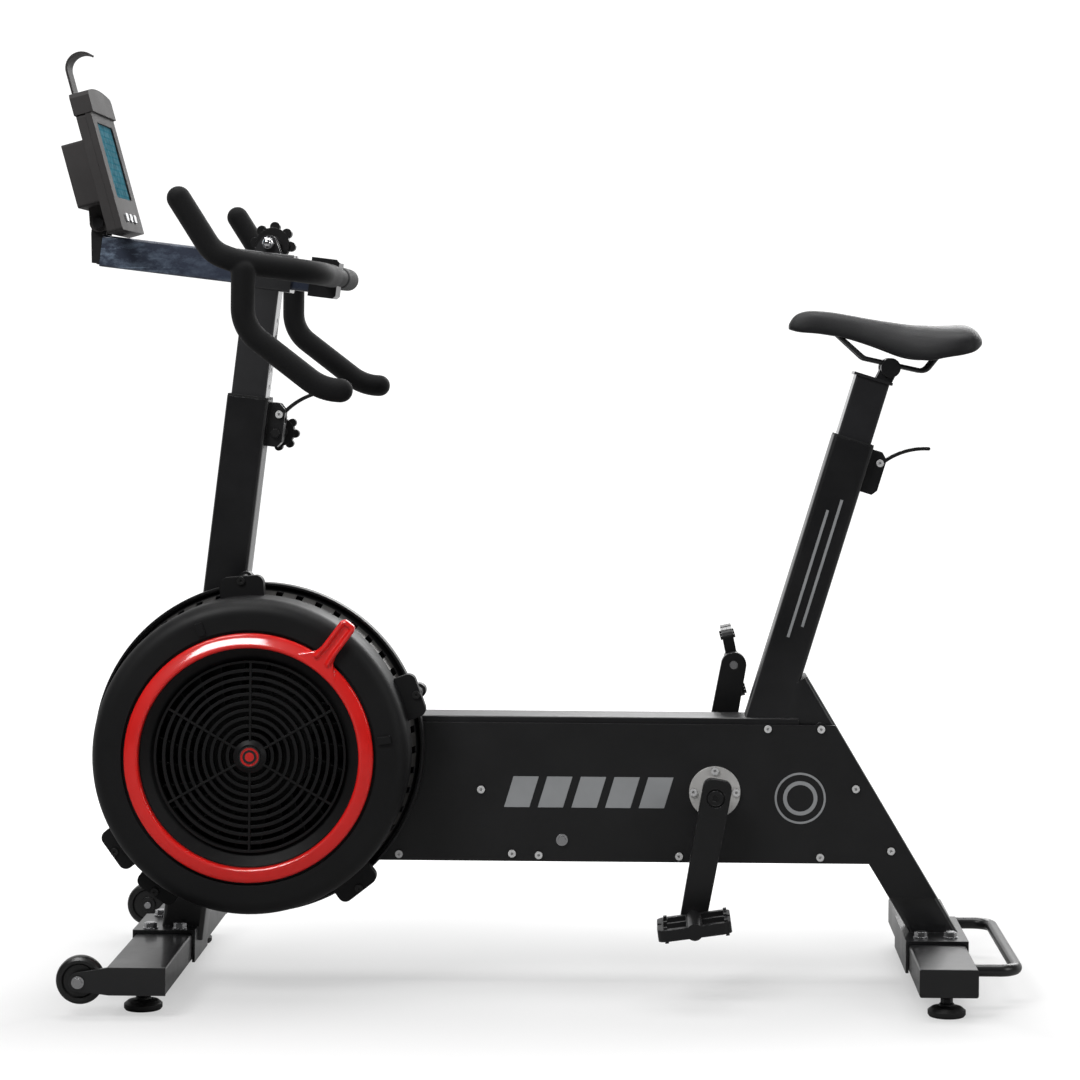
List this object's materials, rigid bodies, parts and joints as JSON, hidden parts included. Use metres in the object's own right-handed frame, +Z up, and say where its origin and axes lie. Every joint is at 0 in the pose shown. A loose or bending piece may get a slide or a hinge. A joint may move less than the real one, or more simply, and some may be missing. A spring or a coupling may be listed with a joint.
{
  "type": "air bike",
  "caption": "Stationary fan-resistance exercise bike with a belt drive, adjustable saddle and handlebar, tilting console, damper ring, levelling feet and transport wheels.",
  "frame": {"origin": "on the floor, at the bottom centre of the whole bike's box", "axes": "+X to the back of the bike, +Y to the rider's right, +Z up"},
  "size_m": [1.3654, 0.5966, 1.3237],
  "materials": {
    "frame_black": "satin black powder coat on steel tube, fine orange-peel texture",
    "plate_black": "satin black powder coat on flat steel plate",
    "zinc_steel": "bright zinc-plated steel",
    "black_plastic": "matt black nylon",
    "black_rubber": "matt black rubber",
    "wheel_rubber": "dark grey polyurethane tread",
    "bearing_steel": "bright zinc-plated bearing flange",
    "machined_steel": "turned bare steel",
    "crank_black": "forged steel in satin black enamel",
    "cast_pulley": "turned cast aluminium",
    "pedal_alloy": "dark anodised alloy with worn edges",
    "belt_rubber": "ribbed black rubber belt",
    "housing_black": "moulded black plastic with a fine grain",
    "badge_red": "domed gloss red plastic",
    "fan_steel": "dark grey painted steel",
    "damper_red": "gloss red moulded plastic",
    "post_steel": "dark steel post with a bright brushed strip",
    "knob_plastic": "black moulded plastic knob",
    "chrome": "bright chrome",
    "bar_blue_black": "blue-black painted steel, scuffed by sliding",
    "foam_black": "closed-cell black foam grip",
    "console_grey": "dark grey moulded plastic with a fine grain",
    "screen_glass": "teal liquid crystal display behind a glossy window",
    "button_grey": "light grey moulded plastic buttons",
    "saddle_cover": "stitched black vinyl cover"
  },
  "bodies": {
    "frame": {"main_frame": "frame_black", "side_plate_left": "plate_black", "side_plate_right": "plate_black", "button_screws": "zinc_steel", "front_stabiliser": "frame_black", "rear_stabiliser": "frame_black", "end_caps": "black_plastic", "stabiliser_bolts": "zinc_steel", "shoulder_bolts": "zinc_steel", "flange_bearings": "bearing_steel", "jackshaft_axle": "machined_steel", "housing_rear": "housing_black", "housing_front": "housing_black", "fan_grille": "housing_black", "hub_badge": "badge_red", "crank_belt": "belt_rubber", "fan_belt": "belt_rubber", "post_bushings": "black_plastic"},
    "fan": {"fan_wheel": "fan_steel", "fan_shaft": "machined_steel"},
    "jackshaft": {"jackshaft_pulleys": "cast_pulley"},
    "crankset": {"crank_spindle": "machined_steel", "crank_arm_left": "crank_black", "crank_arm_right": "crank_black", "drive_pulley": "cast_pulley", "crank_bolts": "crank_black", "pedal_axles": "machined_steel"},
    "left_pedal": {"pedal_left": "pedal_alloy"},
    "right_pedal": {"pedal_right": "pedal_alloy"},
    "tensioner": {"tensioner_arm": "zinc_steel"},
    "idler": {"tensioner_pulley": "machined_steel"},
    "left_wheel": {"wheel_left": "wheel_rubber"},
    "right_wheel": {"wheel_right": "wheel_rubber"},
    "damper": {"damper_ring": "damper_red"},
    "post": {"handlebar_post": "post_steel", "head_nut": "chrome"},
    "head_star": {"head_knob": "knob_plastic"},
    "slider": {"slider_bar": "bar_blue_black", "handlebar": "frame_black", "handlebar_foam": "foam_black", "console_bracket": "frame_black"},
    "console": {"console_case": "console_grey", "console_front": "console_grey", "console_screen": "screen_glass"},
    "button_left": {"console_button_left": "button_grey"},
    "button_middle": {"console_button_middle": "button_grey"},
    "button_right": {"console_button_right": "button_grey"},
    "hook": {"phone_hook": "frame_black"},
    "mast_star": {"mast_knob": "knob_plastic"},
    "mast_clamp": {"mast_lever": "knob_plastic"},
    "seat_clamp": {"seat_lever": "knob_plastic"},
    "seat_column": {"seat_post": "post_steel"},
    "cradle": {"saddle_clamp": "frame_black"},
    "saddle": {"saddle_rails": "frame_black", "saddle_shell": "black_plastic", "saddle_cushion": "saddle_cover"},
    "front_left_foot": {"foot_front_left": "black_rubber"},
    "front_right_foot": {"foot_front_right": "black_rubber"},
    "rear_left_foot": {"foot_rear_left": "black_rubber"},
    "rear_right_foot": {"foot_rear_right": "black_rubber"}
  },
  "joints": [
    {"name": "fan_spin", "type": "hinge", "parent": "frame", "child": "fan", "pos_m": [-0.39, 0, 0.336], "axis": [0, 1, 0], "continuous": true},
    {"name": "jackshaft_spin", "type": "hinge", "parent": "frame", "child": "jackshaft", "pos_m": [-0.077, 0, 0.275], "axis": [0, 1, 0], "continuous": true},
    {"name": "crank_spin", "type": "hinge", "parent": "frame", "child": "crankset", "pos_m": [0.256, 0, 0.274], "axis": [0, 1, 0], "continuous": true},
    {"name": "left_pedal_spin", "type": "hinge", "parent": "crankset", "child": "left_pedal", "pos_m": [0.22648, 0, 0.10658], "axis": [0, 1, 0], "continuous": true},
    {"name": "right_pedal_spin", "type": "hinge", "parent": "crankset", "child": "right_pedal", "pos_m": [0.28552, 0, 0.44142], "axis": [0, 1, 0], "continuous": true},
    {"name": "tensioner_swing", "type": "hinge", "parent": "frame", "child": "tensioner", "pos_m": [0.039, -0.026, 0.2042], "axis": [0, 1, 0], "range_deg": [0, 3.5]},
    {"name": "idler_spin", "type": "hinge", "parent": "tensioner", "child": "idler", "pos_m": [0.08, -0.01, 0.2118], "axis": [0, 1, 0], "continuous": true},
    {"name": "left_wheel_spin", "type": "hinge", "parent": "frame", "child": "left_wheel", "pos_m": [-0.601, -0.27, 0.049], "axis": [0, 1, 0], "continuous": true},
    {"name": "right_wheel_spin", "type": "hinge", "parent": "frame", "child": "right_wheel", "pos_m": [-0.601, 0.27, 0.049], "axis": [0, 1, 0], "continuous": true},
    {"name": "damper_turn", "type": "hinge", "parent": "frame", "child": "damper", "pos_m": [-0.39, 0, 0.336], "axis": [0, 1, 0], "range_deg": [-51, 39]},
    {"name": "handlebar_height", "type": "slide", "parent": "frame", "child": "post", "axis": [0.1132, 0, 0.9936], "range_m": [-0.1, 0.08]},
    {"name": "head_knob_turn", "type": "hinge", "parent": "post", "child": "head_star", "pos_m": [-0.39076, 0, 1.05157], "axis": [0, 1, 0], "range_deg": [0, 360]},
    {"name": "handlebar_reach", "type": "slide", "parent": "post", "child": "slider", "axis": [0.9936, 0, -0.1132], "range_m": [-0.02, 0.12]},
    {"name": "console_tilt", "type": "hinge", "parent": "slider", "child": "console", "pos_m": [-0.6305, 0, 1.0776], "axis": [0, 1, 0], "range_deg": [-25, 3]},
    {"name": "left_button_press", "type": "slide", "parent": "console", "child": "button_left", "axis": [-0.9622, 0, -0.2723], "range_m": [0, 0.0015], "stiffness_N_per_m": 800, "springref_m": -0.0005},
    {"name": "middle_button_press", "type": "slide", "parent": "console", "child": "button_middle", "axis": [-0.9622, 0, -0.2723], "range_m": [0, 0.0015], "stiffness_N_per_m": 800, "springref_m": -0.0005},
    {"name": "right_button_press", "type": "slide", "parent": "console", "child": "button_right", "axis": [-0.9622, 0, -0.2723], "range_m": [0, 0.0015], "stiffness_N_per_m": 800, "springref_m": -0.0005},
    {"name": "hook_lift", "type": "slide", "parent": "console", "child": "hook", "axis": [-0.2723, 0, 0.9622], "range_m": [-0.04, 0.025]},
    {"name": "mast_knob_turn", "type": "hinge", "parent": "frame", "child": "mast_star", "pos_m": [-0.37749, 0, 0.77931], "axis": [0, 1, 0], "range_deg": [0, 360]},
    {"name": "mast_lever_lift", "type": "hinge", "parent": "frame", "child": "mast_clamp", "pos_m": [-0.37245, 0, 0.80592], "axis": [0, 1, 0], "range_deg": [-30, 0]},
    {"name": "seat_lever_lift", "type": "hinge", "parent": "frame", "child": "seat_clamp", "pos_m": [0.48949, 0, 0.74345], "axis": [0, 1, 0], "range_deg": [-30, 0]},
    {"name": "seat_height", "type": "slide", "parent": "frame", "child": "seat_column", "axis": [0.2907, 0, 0.9568], "range_m": [-0.085, 0.15]},
    {"name": "saddle_tilt", "type": "hinge", "parent": "seat_column", "child": "cradle", "pos_m": [0.5029, 0, 0.88047], "axis": [0, 1, 0], "range_deg": [-12, 12]},
    {"name": "saddle_reach", "type": "slide", "parent": "cradle", "child": "saddle", "axis": [0.9781, 0, -0.2079], "range_m": [-0.02, 0.02]},
    {"name": "front_left_foot_turn", "type": "hinge", "parent": "frame", "child": "front_left_foot", "pos_m": [-0.524, -0.225, 0], "axis": [0, 0, 1], "range_deg": [-360, 0]},
    {"name": "front_right_foot_turn", "type": "hinge", "parent": "frame", "child": "front_right_foot", "pos_m": [-0.524, 0.225, 0], "axis": [0, 0, 1], "range_deg": [-360, 0]},
    {"name": "rear_left_foot_turn", "type": "hinge", "parent": "frame", "child": "rear_left_foot", "pos_m": [0.57, -0.225, 0], "axis": [0, 0, 1], "range_deg": [-360, 0]},
    {"name": "rear_right_foot_turn", "type": "hinge", "parent": "frame", "child": "rear_right_foot", "pos_m": [0.57, 0.225, 0], "axis": [0, 0, 1], "range_deg": [-360, 0]}
  ],
  "couplings": [
    {"joint": "jackshaft_spin", "follows": "fan_spin", "ratio": 0.27419},
    {"joint": "crank_spin", "follows": "fan_spin", "ratio": 0.080645},
    {"joint": "idler_spin", "follows": "fan_spin", "ratio": -0.34274}
  ]
}
